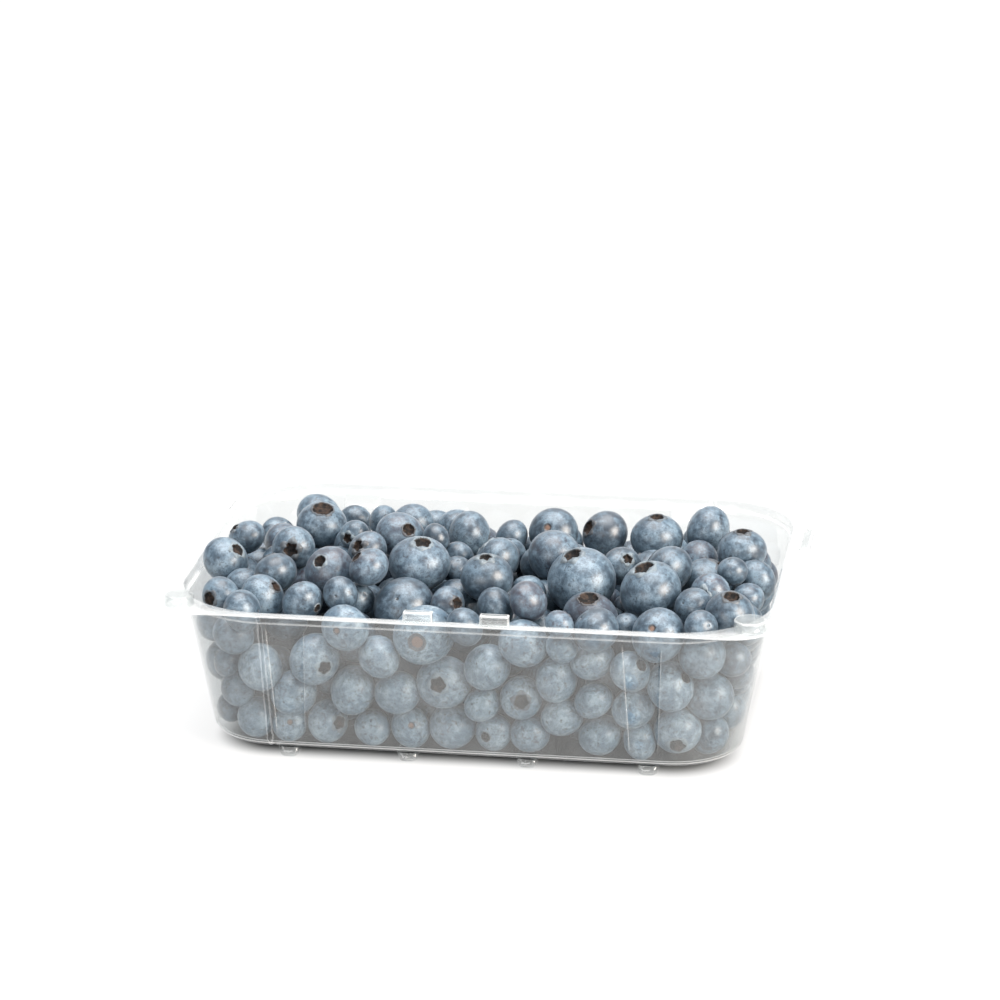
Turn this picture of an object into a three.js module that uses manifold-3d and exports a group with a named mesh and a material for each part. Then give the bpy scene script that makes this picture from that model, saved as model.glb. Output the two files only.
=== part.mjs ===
// A clear plastic punnet heaped with blueberries.
// Millimetres, +Z up. +X runs along the long side, the front is towards -Y, the feet stand on z = 0.

import * as THREE from 'three';
import { mergeVertices } from 'three/addons/utils/BufferGeometryUtils.js';
import Module from 'manifold-3d';

const wasm = await Module();
wasm.setup();

// ---- Driving dimensions ----

const sheet = 0.7;               // thickness of the formed plastic
const rimHeight = 49.5;          // top face of the flange
const footHeight = 2.6;          // the floor's underside stands this far up

// Opening: a rounded rectangle at rim level, measured on the inside of the wall.
const openingHalfLength = 89.9;
const openingHalfWidth = 64.3;
const openingCornerRadius = 29;

// Wall below the opening: an upright shoulder, a narrow ledge, then the tapered panel.
const shoulderDepth = 3.3;
const ledgeDrop = 0.6;
const ledgeInset = 1.1;
const floorInset = 8.5;          // how far the floor's outline lies inside the opening's
const floorCornerRadius = 21;
const floorFillet = 4.2;         // round between wall and floor

// Flutes: two shallow upright channels in each long wall.
const fluteCentre = 53.8;
const fluteTopHalfWidth = 6.4;
const fluteFootHalfWidth = 4.4;
const fluteRamp = 0.9;
const fluteDepth = 1.3;

// Flange outline, corner by corner, with the radius that rounds each corner.
const flangeFront = -68;
const flangeBack = 68.4;
const flangeOutline = [
  { x: 93.2, y: flangeFront, radius: 14 },
  { x: 93.2, y: -37.5, radius: 4 },
  { x: 98.3, y: -33, radius: 6 },
  { x: 100.4, y: 14, radius: 120 },
  { x: 98.8, y: flangeBack, radius: 23 },
  { x: -91.5, y: flangeBack, radius: 24 },
  { x: -91.5, y: 32, radius: 40 },
  { x: -94.6, y: -2, radius: 90 },
  { x: -97.2, y: flangeFront, radius: 15 },
];

// Studs that a lid would snap over, hollow from below, one in each front corner.
const studHeight = 3.2;
const studs = [
  { x: -86.3, y: -60.3, radius: 4.5 },
  { x: 85.6, y: -59, radius: 5 },
];

// Two small hollow boxes on the front flange that a lid snaps on to.
const catchMiddle = -1;
const catchSpacing = 23;
const catchLength = 9.2;
const catchDepth = 3;
const catchHeight = 3.3;
const catchCentreY = -66.1;

// A low oval ridge on the wide right-hand ear, to grip it by.
const gripLength = 20;
const gripWidth = 3.6;
const gripHeight = 0.8;
const gripX = 95.2;
const gripY = 24;

// Feet: hollow ribs under the floor that run from front to back. The base is very slightly domed,
// so the punnet stands on a pad at each end of the two outer ribs.
const footSpacing = 36.6;
const footCount = 4;
const footBottomHalfWidth = 2.6;
const footTopHalfWidth = 3.4;
const footHalfLength = 55.2;
const footEndRadius = 1.9;       // rounds the ends of the ribs, seen from below
const padLength = 9;
const padRamp = 1.5;
const ribClearance = 0.4;        // between the table and the ribs, away from the pads

// The heap of berries.
const fitGap = 0.3;              // between the heap and the plastic
const berryRadius = 7.4;
const berryRadiusSpread = 1.7;
const berrySpacing = 13.6;
const moundTop = rimHeight + 8.5;    // the mound's level over its front half
const moundBackFall = 9;             // it falls this much to the back wall
const moundEdgeDrop = 6;             // and this much where it meets the wall
const creviceDepth = 8.5;
const heapGrid = 4;

// ---- Helpers ----

function toManifold(geometry) {
  const bare = geometry.index ? geometry.toNonIndexed() : geometry.clone();
  bare.deleteAttribute('normal');
  bare.deleteAttribute('uv');
  const merged = mergeVertices(bare, 1e-5);
  return new wasm.Manifold(new wasm.Mesh({
    numProp: 3,
    vertProperties: new Float32Array(merged.attributes.position.array),
    triVerts: new Uint32Array(merged.index.array),
  }));
}

function toGeometry(solid) {
  const mesh = solid.getMesh();
  const geometry = new THREE.BufferGeometry();
  geometry.setAttribute('position', new THREE.BufferAttribute(new Float32Array(mesh.vertProperties), 3));
  geometry.setIndex(new THREE.BufferAttribute(new Uint32Array(mesh.triVerts), 1));
  geometry.computeVertexNormals();
  return geometry;
}

// A closed solid through a stack of loops that all have the same number of points, lowest first.
function loft(loops) {
  const count = loops[0].length;
  const positions = loops.flat().flatMap((p) => [p.x, p.y, p.z]);
  const index = [];
  for (let level = 0; level + 1 < loops.length; level += 1) {
    for (let i = 0; i < count; i += 1) {
      const next = (i + 1) % count;
      const low = level * count;
      const high = low + count;
      index.push(low + i, low + next, high + next);
      index.push(low + i, high + next, high + i);
    }
  }
  const topStart = (loops.length - 1) * count;
  const flat = loops[0].map((p) => new THREE.Vector2(p.x, p.y));
  for (const [a, b, c] of THREE.ShapeUtils.triangulateShape(flat, [])) {
    index.push(a, c, b);
    index.push(topStart + a, topStart + b, topStart + c);
  }
  const geometry = new THREE.BufferGeometry();
  geometry.setAttribute('position', new THREE.Float32BufferAttribute(positions, 3));
  geometry.setIndex(index);
  return geometry;
}

// Repeatable random numbers between 0 and 1.
function seededRandom(seed) {
  let state = seed;
  return () => {
    state = (state * 1664525 + 1013904223) % 4294967296;
    return state / 4294967296;
  };
}

// ---- The punnet's wall ----

// Levels from the floor up: z, how far the loop lies inside the opening, and how deep the flutes are.
function wallLevels() {
  const levels = [];
  const filletSteps = 3;
  for (let i = 0; i <= filletSteps; i += 1) {
    const angle = (Math.PI / 2) * (i / filletSteps);
    levels.push({
      z: footHeight + floorFillet * (1 - Math.cos(angle)),
      inset: floorInset + floorFillet * (1 - Math.sin(angle)),
      flute: 0,
    });
  }
  const ledgeFoot = rimHeight - shoulderDepth - ledgeDrop;
  const panelFoot = footHeight + floorFillet;
  for (const share of [0.06, 0.5, 0.94, 1]) {
    levels.push({
      z: panelFoot + (ledgeFoot - panelFoot) * share,
      inset: floorInset + (ledgeInset - floorInset) * share,
      flute: share < 1 ? fluteDepth : 0,
    });
  }
  levels.push({ z: rimHeight - shoulderDepth, inset: 0.2, flute: 0 });
  levels.push({ z: rimHeight, inset: 0, flute: 0 });
  return levels;
}

// One loop of the wall, `shrink` millimetres inside its outer face.
function wallLoop(level, shrink, z) {
  const inset = level.inset + shrink - sheet;
  const a = openingHalfLength - inset;
  const b = openingHalfWidth - inset;
  const drop = Math.min(level.inset / floorInset, 1);
  const underFillet = Math.max(level.inset - floorInset, 0);
  const outerRadius = THREE.MathUtils.lerp(openingCornerRadius, floorCornerRadius, drop) - underFillet;
  const radius = outerRadius + sheet - shrink;
  const fluteHalf = THREE.MathUtils.lerp(fluteTopHalfWidth, fluteFootHalfWidth, drop);
  const points = [];
  const cornerSteps = 9;

  function corner(signX, signY, startAngle) {
    for (let i = 0; i <= cornerSteps; i += 1) {
      const angle = startAngle + (Math.PI / 2) * (i / cornerSteps);
      points.push(new THREE.Vector3(
        signX * (a - radius) + radius * Math.cos(angle),
        signY * (b - radius) + radius * Math.sin(angle),
        z,
      ));
    }
  }

  function longSide(sign) {
    for (const centre of [-fluteCentre, fluteCentre]) {
      const edges = [
        [-fluteHalf, 0],
        [-fluteHalf + fluteRamp, level.flute],
        [fluteHalf - fluteRamp, level.flute],
        [fluteHalf, 0],
      ];
      for (const [offset, depth] of edges) {
        points.push(new THREE.Vector3(-sign * (centre + offset), sign * (b - depth), z));
      }
    }
  }

  longSide(-1);
  corner(1, -1, -Math.PI / 2);
  corner(1, 1, 0);
  longSide(1);
  corner(-1, 1, Math.PI / 2);
  corner(-1, -1, Math.PI);
  return points;
}

// The space inside the wall's outer face moved in by `shrink`, up to `top`.
function wallBody(shrink, top) {
  const levels = wallLevels();
  const loops = levels.map((level, i) => {
    const liftedFloor = i === 0 ? shrink : 0;
    const filletLift = i > 0 && i < 3 ? shrink * (1 - i / 3) : 0;
    return wallLoop(level, shrink, level.z + liftedFloor + filletLift);
  });
  loops.push(wallLoop(levels[levels.length - 1], shrink, top));
  return toManifold(loft(loops));
}

// ---- The flange and what is formed on it ----

// A polygon with each corner rounded by its own radius.
function roundedOutline(corners) {
  const points = [];
  const count = corners.length;
  for (let i = 0; i < count; i += 1) {
    const before = corners[(i + count - 1) % count];
    const corner = corners[i];
    const after = corners[(i + 1) % count];
    const at = new THREE.Vector2(corner.x, corner.y);
    const back = new THREE.Vector2(before.x, before.y).sub(at).normalize();
    const forward = new THREE.Vector2(after.x, after.y).sub(at).normalize();
    const halfAngle = Math.acos(THREE.MathUtils.clamp(back.dot(forward), -1, 1)) / 2;
    const toTangent = corner.radius / Math.tan(halfAngle);
    const centre = back.clone().add(forward).normalize()
      .multiplyScalar(corner.radius / Math.sin(halfAngle)).add(at);
    const start = at.clone().addScaledVector(back, toTangent).sub(centre);
    const end = at.clone().addScaledVector(forward, toTangent).sub(centre);
    const turn = Math.PI - 2 * halfAngle;
    const sign = Math.sign(start.x * end.y - start.y * end.x);
    const steps = Math.max(2, Math.round(turn / 0.18));
    for (let s = 0; s <= steps; s += 1) {
      const arm = start.clone().rotateAround(new THREE.Vector2(), sign * turn * (s / steps));
      points.push(arm.add(centre));
    }
  }
  return points;
}

function flangePlate() {
  const shape = new THREE.Shape(roundedOutline(flangeOutline));
  const geometry = new THREE.ExtrudeGeometry(shape, { depth: sheet, bevelEnabled: false });
  geometry.translate(0, 0, rimHeight - sheet);
  return toManifold(geometry);
}

// A raised hollow boss on the flange: an oval, or a box with rounded corners.
function boss(x, y, halfX, halfY, height, cornerRadius, inner) {
  const wall = inner ? sheet : 0;
  const taper = 0.12 * height;
  const low = inner ? rimHeight - 2 * sheet : rimHeight - sheet / 2;
  const loops = [
    { z: low, shrink: 0 },
    { z: rimHeight + height - wall, shrink: taper },
  ].map(({ z, shrink }) => {
    const a = halfX - wall - shrink;
    const b = halfY - wall - shrink;
    const radius = Math.min(cornerRadius - wall / 2, a, b);
    const corners = [[1, -1], [1, 1], [-1, 1], [-1, -1]];
    return corners.flatMap(([signX, signY], quarter) => {
      const steps = 5;
      return Array.from({ length: steps + 1 }, (_, i) => {
        const angle = (Math.PI / 2) * (quarter - 1 + i / steps) * 0.999 + 0.0005 * quarter;
        return new THREE.Vector3(
          x + signX * (a - radius) + radius * Math.cos(angle),
          y + signY * (b - radius) + radius * Math.sin(angle),
          z,
        );
      });
    });
  });
  return toManifold(loft(loops));
}

function bosses(inner) {
  const made = [];
  for (const { x, y, radius } of studs) {
    made.push(boss(x, y, radius, radius, studHeight, radius * 0.98, inner));
  }
  for (const side of [-0.5, 0.5]) {
    made.push(boss(catchMiddle + side * catchSpacing, catchCentreY, catchLength / 2, catchDepth / 2,
      catchHeight, 1.1, inner));
  }
  made.push(boss(gripX, gripY, gripWidth / 2, gripLength / 2, gripHeight, gripWidth * 0.48, inner));
  return made;
}

// ---- Feet ----

// Sections along a rib from its middle to its end: y, height off the table, and how far it narrows.
function footStations(padLift, inner) {
  const wall = inner ? sheet : 0;
  const padStart = footHalfLength - padLength + wall;
  const radius = footEndRadius - wall;
  const stations = [
    { y: padStart - padRamp, lift: ribClearance, narrowing: 0 },
    { y: padStart, lift: padLift, narrowing: 0 },
  ];
  const endSteps = 3;
  for (let i = 0; i <= endSteps; i += 1) {
    const angle = (Math.PI / 2) * (i / endSteps);
    stations.push({
      y: footHalfLength - wall - radius * (1 - Math.sin(angle)),
      lift: padLift,
      narrowing: radius * (1 - Math.cos(angle)),
    });
  }
  return stations;
}

function foot(number, inner) {
  const wall = inner ? sheet : 0;
  const top = footHeight + floorFillet / 2;
  const isOuter = number === 0 || number === footCount - 1;
  const backHalf = footStations(isOuter ? 0 : ribClearance, inner);
  const frontHalf = backHalf.map((station) => ({ ...station, y: -station.y })).reverse();
  const geometry = loft([...frontHalf, ...backHalf].map(({ y, lift, narrowing }) => {
    const bottomHalf = footBottomHalfWidth - wall - narrowing;
    const topHalf = footTopHalfWidth - wall - narrowing;
    return [
      new THREE.Vector3(-bottomHalf, lift + wall, y),
      new THREE.Vector3(bottomHalf, lift + wall, y),
      new THREE.Vector3(topHalf, top, y),
      new THREE.Vector3(-topHalf, top, y),
    ];
  }));
  geometry.rotateX(Math.PI / 2);
  geometry.translate((number - (footCount - 1) / 2) * footSpacing, 0, 0);
  return toManifold(geometry);
}

function feet(inner) {
  return Array.from({ length: footCount }, (_, number) => foot(number, inner));
}

// ---- The heap of berries ----

function moundLevel(x, y) {
  const u = Math.min(1, Math.abs(x) / openingHalfLength);
  const v = Math.min(1, Math.abs(y) / openingHalfWidth);
  const towardsBack = (y / openingHalfWidth + 1) / 2;
  const edge = 1 - Math.sqrt((1 - u ** 6) * (1 - v ** 6));
  return moundTop - moundBackFall * towardsBack ** 2 - moundEdgeDrop * edge;
}

function heapBerries() {
  const random = seededRandom(41);
  const berries = [];
  const rowStep = berrySpacing * Math.sin(Math.PI / 3);
  const rows = Math.floor(openingHalfWidth / rowStep);
  const columns = Math.floor(openingHalfLength / berrySpacing);
  for (let row = -rows; row <= rows; row += 1) {
    for (let column = -columns; column <= columns; column += 1) {
      const x = (column + (Math.abs(row) % 2) / 2 + 0.3 * (random() - 0.5)) * berrySpacing;
      const y = (row + 0.3 * (random() - 0.5)) * rowStep;
      const radius = berryRadius + berryRadiusSpread * (2 * random() - 1);
      const z = moundLevel(x, y) - radius + 4 * (random() - 0.5);
      berries.push({ x, y, z, radius });
    }
  }
  return berries;
}

// A slab whose top is the berries' uneven outline.
function heapSlab() {
  const berries = heapBerries();
  const columns = Math.ceil((2 * openingHalfLength) / heapGrid);
  const rows = Math.ceil((2 * openingHalfWidth) / heapGrid);
  const positions = [];
  const index = [];
  const stride = columns + 1;

  function topAt(x, y) {
    let top = moundLevel(x, y) - creviceDepth;
    for (const berry of berries) {
      const reach = berry.radius ** 2 - (x - berry.x) ** 2 - (y - berry.y) ** 2;
      if (reach > 0) top = Math.max(top, berry.z + Math.sqrt(reach));
    }
    return top;
  }

  for (const isTop of [false, true]) {
    for (let j = 0; j <= rows; j += 1) {
      for (let i = 0; i <= columns; i += 1) {
        const x = (i / columns - 0.5) * 2 * openingHalfLength;
        const y = (j / rows - 0.5) * 2 * openingHalfWidth;
        positions.push(x, y, isTop ? topAt(x, y) : 0);
      }
    }
  }
  const upper = stride * (rows + 1);
  for (let j = 0; j < rows; j += 1) {
    for (let i = 0; i < columns; i += 1) {
      const p = j * stride + i;
      index.push(upper + p, upper + p + 1, upper + p + stride + 1);
      index.push(upper + p, upper + p + stride + 1, upper + p + stride);
      index.push(p, p + stride + 1, p + 1);
      index.push(p, p + stride, p + stride + 1);
    }
  }
  const border = [];
  for (let i = 0; i < columns; i += 1) border.push(i);
  for (let j = 0; j < rows; j += 1) border.push(j * stride + columns);
  for (let i = columns; i > 0; i -= 1) border.push(rows * stride + i);
  for (let j = rows; j > 0; j -= 1) border.push(j * stride);
  border.forEach((p, k) => {
    const q = border[(k + 1) % border.length];
    index.push(p, q, upper + q);
    index.push(p, upper + q, upper + p);
  });
  const geometry = new THREE.BufferGeometry();
  geometry.setAttribute('position', new THREE.Float32BufferAttribute(positions, 3));
  geometry.setIndex(index);
  return toManifold(geometry);
}

// ---- Put together ----

function join(solids) {
  return solids.reduce((whole, next) => whole.add(next));
}

const tubOutside = join([wallBody(0, rimHeight), flangePlate(), ...bosses(false), ...feet(false)]);
const tubInside = join([wallBody(sheet, rimHeight + 1), ...bosses(true), ...feet(true)]);
const tubSolid = tubOutside.subtract(tubInside);

const heapSpace = wallBody(sheet + fitGap, moundTop + berryRadius);
const heapSolid = heapSpace.intersect(heapSlab());

const clearPlastic = new THREE.MeshStandardMaterial({
  color: 0xeef2f3,
  roughness: 0.12,
  metalness: 0,
  transparent: true,
  opacity: 0.3,
});
const berrySkin = new THREE.MeshStandardMaterial({ color: 0x3d4961, roughness: 0.6, metalness: 0 });

const tub = new THREE.Mesh(toGeometry(tubSolid), clearPlastic);
tub.name = 'tub';

const berryHeap = new THREE.Mesh(toGeometry(heapSolid), berrySkin);
berryHeap.name = 'berry_heap';

// The ears reach out by different amounts, so the whole is moved to stand centred on the origin.
const outlineBox = new THREE.Box2().setFromPoints(roundedOutline(flangeOutline));
const outlineCentre = outlineBox.getCenter(new THREE.Vector2());
const punnet = new THREE.Group();
punnet.position.set(-outlineCentre.x, -outlineCentre.y, 0);
punnet.add(tub, berryHeap);

export default punnet;
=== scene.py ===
"""A clear plastic punnet heaped with loose dusty blueberries, on a white table in soft light."""

import math

import bpy
import numpy as np
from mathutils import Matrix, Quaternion, Vector


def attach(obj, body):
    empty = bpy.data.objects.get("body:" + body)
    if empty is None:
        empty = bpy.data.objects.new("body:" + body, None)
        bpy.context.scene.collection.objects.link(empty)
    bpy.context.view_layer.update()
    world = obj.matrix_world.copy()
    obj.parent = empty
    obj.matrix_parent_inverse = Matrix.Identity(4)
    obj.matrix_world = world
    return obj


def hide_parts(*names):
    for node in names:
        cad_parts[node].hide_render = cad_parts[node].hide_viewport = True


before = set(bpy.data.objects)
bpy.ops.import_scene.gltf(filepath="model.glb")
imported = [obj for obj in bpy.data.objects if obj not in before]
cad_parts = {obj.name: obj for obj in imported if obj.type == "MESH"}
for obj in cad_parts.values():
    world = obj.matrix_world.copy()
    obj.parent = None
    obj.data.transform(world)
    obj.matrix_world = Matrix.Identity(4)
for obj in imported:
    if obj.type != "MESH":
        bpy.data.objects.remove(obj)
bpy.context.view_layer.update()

MM = 0.001


# ---- Wall of the punnet ----
# One piece of clear sheet, vacuum formed: a floor with a rounded edge, tapered walls with two
# shallow flutes in each long side, a narrow ledge, an upright shoulder and then the flange.

SHEET = 0.7
RIM = 49.5
FLOOR = 2.6
OPENING_HALF_LENGTH = 89.9
OPENING_HALF_WIDTH = 64.3
OPENING_RADIUS = 29.0
SHOULDER = 3.3
LEDGE_DROP = 0.6
LEDGE_INSET = 1.1
FLOOR_INSET = 8.5
FLOOR_RADIUS = 21.0
FLOOR_FILLET = 4.2
LEDGE_FOOT = RIM - SHOULDER - LEDGE_DROP
PANEL_FOOT = FLOOR + FLOOR_FILLET
FLUTE_CENTRE = 53.8
FLUTE_TOP_HALF = 6.4
FLUTE_FOOT_HALF = 4.4
FLUTE_RAMP = 0.9
FLUTE_DEPTH = 1.3
# Columns of points across a flute, from its left edge (-1) to its right (1), closest on the ramps.
FLUTE_SHARES = (
    -1.03, -1, -0.965, -0.93, -0.895, -0.84, -0.78, 0, 0.78, 0.84, 0.895, 0.93, 0.965, 1, 1.03,
)
FLUTE_LINES = {-0.93: 1.2, 1: 1.5}  # how strongly the painted glint (extra white haze standing in for a highlight line) shows at a flute's left and right edge
BASE_LINE = 3.2  # and along the bend that runs round the floor
LEDGE_LINE = 2.0  # and along the ledge
RIM_LINE = 1.9  # and at the flange's cut edge
FLANGE_PAINTED_GLINT = 1.6  # and on the flange, where it's narrow and along the front
LAST_COLUMN = 58.0
COLUMN_SPACING = 2.0
CORNER_COLUMNS = 22
SHORT_SIDE_COLUMNS = 40
FLOOR_SHARES = (0.0, 0.35, 0.7)
FILLET_STEPS = 12
BASE_LINE_STEP = 7
PANEL_SHARES = (0.04, 0.1, 0.3, 0.5, 0.7, 0.9, 0.96)
FLUTE_RUN_OUT = 0.1  # share of the panel's height over which a flute fades out
FLANGE_MIDDLE = 0.55  # how far out the flange's middle rings lie

FLANGE_FRONT = -68.0
FLANGE_BACK = 68.4
FLANGE_CORNERS = [
    # x, y, radius of the corner
    (93.2, FLANGE_FRONT, 14),
    (93.2, -37.5, 4),
    (98.3, -33.0, 6),
    (100.4, 14.0, 120),
    (98.8, FLANGE_BACK, 23),
    (-91.5, FLANGE_BACK, 24),
    (-91.5, 32.0, 40),
    (-94.6, -2.0, 90),
    (-97.2, FLANGE_FRONT, 15),
]
ARC_STEP = 0.05


def rounded_outline(corners):
    """A polygon with each corner rounded by its own radius, as an array of x, y points."""
    points = []
    for i, (x, y, radius) in enumerate(corners):
        at = np.array((x, y), float)
        back = np.array(corners[i - 1][:2], float) - at
        ahead = np.array(corners[(i + 1) % len(corners)][:2], float) - at
        back /= np.linalg.norm(back)
        ahead /= np.linalg.norm(ahead)
        half = math.acos(float(np.clip(back @ ahead, -1, 1))) / 2
        middle = (back + ahead) / np.linalg.norm(back + ahead)
        centre = at + middle * radius / math.sin(half)
        start = at + back * radius / math.tan(half) - centre
        turn = math.pi - 2 * half
        sign = -math.copysign(1.0, back[0] * ahead[1] - back[1] * ahead[0])
        for share in np.linspace(0, 1, max(3, int(turn / ARC_STEP) + 1)):
            a = sign * turn * share
            points.append((
                centre[0] + start[0] * math.cos(a) - start[1] * math.sin(a),
                centre[1] + start[0] * math.sin(a) + start[1] * math.cos(a),
            ))
    return np.array(points)


flange_line = rounded_outline(FLANGE_CORNERS)

# The ears reach out by different amounts, so the opening's middle isn't the origin.
OPENING_MIDDLE = np.array((
    -(flange_line[:, 0].max() + flange_line[:, 0].min()) / 2,
    -(flange_line[:, 1].max() + flange_line[:, 1].min()) / 2,
    0.0,
))


def smooth_step(value):
    """From 0 to 1, eased at both ends."""
    value = np.clip(value, 0, 1)
    return value * value * (3 - 2 * value)


def wall_line(inset, flute=0.0, shrink=0.0):
    """Points round the wall at one level, with their outward directions and how much painted glint they
    get.
    """
    drop = min(inset / FLOOR_INSET, 1)
    beyond = max(inset - FLOOR_INSET, 0)
    a = OPENING_HALF_LENGTH - inset - shrink + SHEET
    b = OPENING_HALF_WIDTH - inset - shrink + SHEET
    radius = OPENING_RADIUS + (FLOOR_RADIUS - OPENING_RADIUS) * drop - beyond + SHEET - shrink
    flute_half = FLUTE_TOP_HALF + (FLUTE_FOOT_HALF - FLUTE_TOP_HALF) * drop
    long_half = OPENING_HALF_LENGTH - OPENING_RADIUS
    # Columns along a long side: x, how deep in the flute it lies, and how much painted glint it gets.
    columns = [(-long_half, 0.0, 0.0)]
    for x in np.arange(-LAST_COLUMN, LAST_COLUMN + 0.1, COLUMN_SPACING):
        if abs(abs(x) - FLUTE_CENTRE) > FLUTE_TOP_HALF + 0.5:
            columns.append((x, 0.0, 0.0))
    for centre in (-FLUTE_CENTRE, FLUTE_CENTRE):
        for share in FLUTE_SHARES:
            depth = smooth_step((1 - abs(share)) * flute_half / FLUTE_RAMP)
            columns.append((centre + share * flute_half, depth, FLUTE_LINES.get(share, 0.0)))
    columns.sort()
    rows = []

    def long_side(side):
        order = columns if side < 0 else [(-x, depth, haze_and_painted_glint) for x, depth, haze_and_painted_glint in columns]
        for x, depth, haze_and_painted_glint in order:
            # The outermost columns follow the corner as it moves in.
            squeeze = (a - radius) / long_half if abs(x) > FLUTE_CENTRE + FLUTE_TOP_HALF - 0.2 else 1
            shown = haze_and_painted_glint * flute / FLUTE_DEPTH if shrink == 0 else 0.0
            rows.append((x * squeeze, side * (b - flute * depth), 0, side, shown))

    def corner(sign_x, sign_y, start):
        for share in np.linspace(0, 1, CORNER_COLUMNS):
            angle = start + math.pi / 2 * share
            c, s = math.cos(angle), math.sin(angle)
            x = sign_x * (a - radius) + radius * c
            y = sign_y * (b - radius) + radius * s
            rows.append((x, y, c, s, 0))

    def short_side(side):
        for share in np.linspace(-1, 1, SHORT_SIDE_COLUMNS)[1:-1]:
            rows.append((side * a, side * share * (b - radius), side, 0, 0))

    long_side(-1)
    corner(1, -1, -math.pi / 2)
    short_side(1)
    corner(1, 1, 0)
    long_side(1)
    corner(-1, 1, math.pi / 2)
    short_side(-1)
    corner(-1, -1, math.pi)
    return np.array(rows)


def flange_reach(points, ways):
    """How far each point is from the flange's outline, along its outward direction."""
    ends = np.roll(flange_line, -1, axis=0)
    along = ends - flange_line
    reach = np.full(len(points), 1e9)
    for i, (p, w) in enumerate(zip(points, ways)):
        cross = w[0] * along[:, 1] - w[1] * along[:, 0]
        cross = np.where(np.abs(cross) < 1e-9, 1e-9, cross)
        gap = flange_line - p
        far = (gap[:, 0] * along[:, 1] - gap[:, 1] * along[:, 0]) / cross
        share = (gap[:, 0] * w[1] - gap[:, 1] * w[0]) / cross
        good = (share >= -1e-6) & (share <= 1 + 1e-6) & (far > 0)
        if good.any():
            reach[i] = far[good].min()
    return reach


def wall_levels(shrink):
    """From the middle of the floor to the rim: z, inset, flute depth and how much painted glint it
    gets.

    On the floor there is no inset yet, and the third value is the share of its outline instead.
    """
    levels = [(FLOOR + shrink, None, share, 0.0) for share in FLOOR_SHARES]
    fillet = FLOOR_FILLET - shrink
    for i in range(FILLET_STEPS + 1):
        angle = math.pi / 2 * i / FILLET_STEPS
        z = FLOOR + shrink + fillet * (1 - math.cos(angle))
        inset = FLOOR_INSET + fillet * (1 - math.sin(angle))
        levels.append((z, inset, 0.0, BASE_LINE if i == BASE_LINE_STEP else 0.0))
    for share in PANEL_SHARES:
        z = PANEL_FOOT + (LEDGE_FOOT - PANEL_FOOT) * share
        inset = FLOOR_INSET + (LEDGE_INSET - FLOOR_INSET) * share
        flute = FLUTE_DEPTH * smooth_step(min(share, 1 - share) / FLUTE_RUN_OUT)
        levels.append((z, inset, flute, 0.0))
    # The ledge, and the upright shoulder above it.
    levels.append((LEDGE_FOOT - 0.2, LEDGE_INSET + 0.02, 0.0, 0.0))
    levels.append((LEDGE_FOOT + 0.15, LEDGE_INSET - 0.2, 0.0, LEDGE_LINE))
    levels.append((LEDGE_FOOT + LEDGE_DROP - 0.15, 0.4, 0.0, LEDGE_LINE / 2))
    levels.append((RIM - SHOULDER + 0.25, 0.2, 0.0, 0.0))
    levels.append((RIM - 1.4, 0.05, 0.0, 0.0))
    return levels


def shell_rings():
    """Rings over the whole sheet: up the outside to the flange's edge, then back down the inside."""
    top_line = wall_line(0.0, 0.0, SHEET)
    ways = top_line[:, 2:4]
    reach = flange_reach(top_line[:, :2], ways)
    everywhere = np.ones(len(reach))

    def side_rings(shrink):
        rings = []
        for z, inset, flute, haze_and_painted_glint in wall_levels(shrink):
            if inset is None:
                floor_line = wall_line(FLOOR_INSET + FLOOR_FILLET - shrink, 0.0, shrink)
                rings.append((floor_line[:, :2] * (0.02 + flute), z * everywhere, 0 * everywhere))
            else:
                line = wall_line(inset, flute, shrink)
                rings.append((line[:, :2], z * everywhere, np.maximum(line[:, 4], haze_and_painted_glint)))
        return rings

    def flange_ring(out, z, haze_and_painted_glint):
        """A ring that lies out from the top of the wall, by one distance or one for each point."""
        xy = top_line[:, :2] + ways * np.minimum(out * everywhere, reach)[:, None]
        return (xy, z * everywhere, haze_and_painted_glint * everywhere)

    outside = side_rings(0.0)
    inside = side_rings(SHEET)
    edge = reach - 0.02
    # A painted glint lies right across the flange where it's narrow and all along the front.
    narrow = np.clip((6.0 - reach) / 3.0, 0, 1)
    at_front = np.clip(-1.6 * ways[:, 1] - 0.3, 0, 1)
    flange_painted_glint = np.maximum(narrow, at_front) * FLANGE_PAINTED_GLINT
    under = [
        flange_ring(SHEET, RIM - 1.2, 0.0),
        flange_ring(SHEET + 0.35, RIM - 0.8, 0.0),
        flange_ring(np.maximum(edge * FLANGE_MIDDLE, SHEET + 0.6), RIM - SHEET, 0.0),
        flange_ring(edge - 0.35, RIM - SHEET, 0.6),
    ]
    rim = [
        flange_ring(edge, RIM - SHEET * 0.6, RIM_LINE),
        flange_ring(edge, RIM - SHEET * 0.3, RIM_LINE),
    ]
    over = [
        flange_ring(edge - 0.3, RIM, 1.4),
        flange_ring(edge - 0.8, RIM, flange_painted_glint),
        flange_ring(np.maximum(edge * FLANGE_MIDDLE, 1.2), RIM, flange_painted_glint),
        flange_ring(0.75, RIM, 0.9),
        flange_ring(0.3, RIM - 0.15, 1.6),
        flange_ring(0.06, RIM - 0.55, 0.7),
    ]
    return outside + under + rim + over + inside[::-1]


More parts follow.
